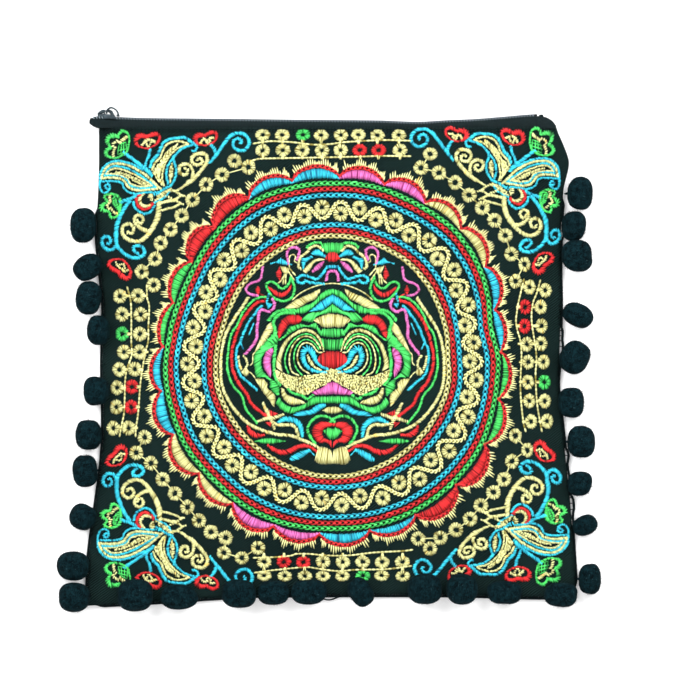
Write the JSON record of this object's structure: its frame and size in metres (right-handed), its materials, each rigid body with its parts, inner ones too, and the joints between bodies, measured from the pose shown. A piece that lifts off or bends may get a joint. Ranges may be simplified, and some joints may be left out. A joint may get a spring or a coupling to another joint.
{
  "type": "clutch bag",
  "caption": "Square black cloth clutch lying on its back, with a bright embroidered medallion front, a zip along the top and a pompom trim on three sides.",
  "frame": {"origin": "middle of the bottom of the whole bag's box as it lies on its back panel, pompoms included", "axes": "+X to the right of the embroidered face, +Y towards the zip, +Z out of the embroidered face, up from the surface"},
  "size_m": [0.2941, 0.2731, 0.0193],
  "materials": {
    "twill": "matt black cotton twill",
    "zip_tape": "matt woven tape",
    "zip_coil": "satin black nylon coil",
    "zip_metal": "satin gunmetal",
    "braid": "matt crocheted cord",
    "felt": "matt fluffy felted yarn",
    "gold_thread": "glossy pale gold rayon thread",
    "red_thread": "glossy red rayon thread",
    "green_thread": "glossy green rayon thread",
    "blue_thread": "glossy sky blue rayon thread",
    "pink_thread": "glossy pink rayon thread"
  },
  "bodies": {
    "bag": {"front_panel": "twill", "back_panel": "twill", "zip_tape_front": "zip_tape", "zip_tape_back": "zip_tape", "zip_end_left": "zip_tape", "zip_end_right": "zip_tape", "zip_teeth_front": "zip_coil", "zip_teeth_back": "zip_coil", "zip_slider": "zip_metal", "trim_left": "braid", "trim_bottom": "braid", "trim_right": "braid", "pompom_left_01": "felt", "pompom_left_02": "felt", "pompom_left_03": "felt", "pompom_left_04": "felt", "pompom_left_05": "felt", "pompom_left_06": "felt", "pompom_left_07": "felt", "pompom_left_08": "felt", "pompom_left_09": "felt", "pompom_left_10": "felt", "pompom_bottom_01": "felt", "pompom_bottom_02": "felt", "pompom_bottom_03": "felt", "pompom_bottom_04": "felt", "pompom_bottom_05": "felt", "pompom_bottom_06": "felt", "pompom_bottom_07": "felt", "pompom_bottom_08": "felt", "pompom_bottom_09": "felt", "pompom_bottom_10": "felt", "pompom_right_01": "felt", "pompom_right_02": "felt", "pompom_right_03": "felt", "pompom_right_04": "felt", "pompom_right_05": "felt", "pompom_right_06": "felt", "pompom_right_07": "felt", "pompom_right_08": "felt", "pompom_right_09": "felt", "pompom_right_10": "felt"},
    "pull": {"zip_pull": "zip_metal"}
  },
  "joints": [
    {"name": "pull_swing", "type": "hinge", "parent": "bag", "child": "pull", "pos_m": [-0.1202, 0.1334, 0.00555], "axis": [0, 0, 1], "range_deg": [0, 115]}
  ]
}
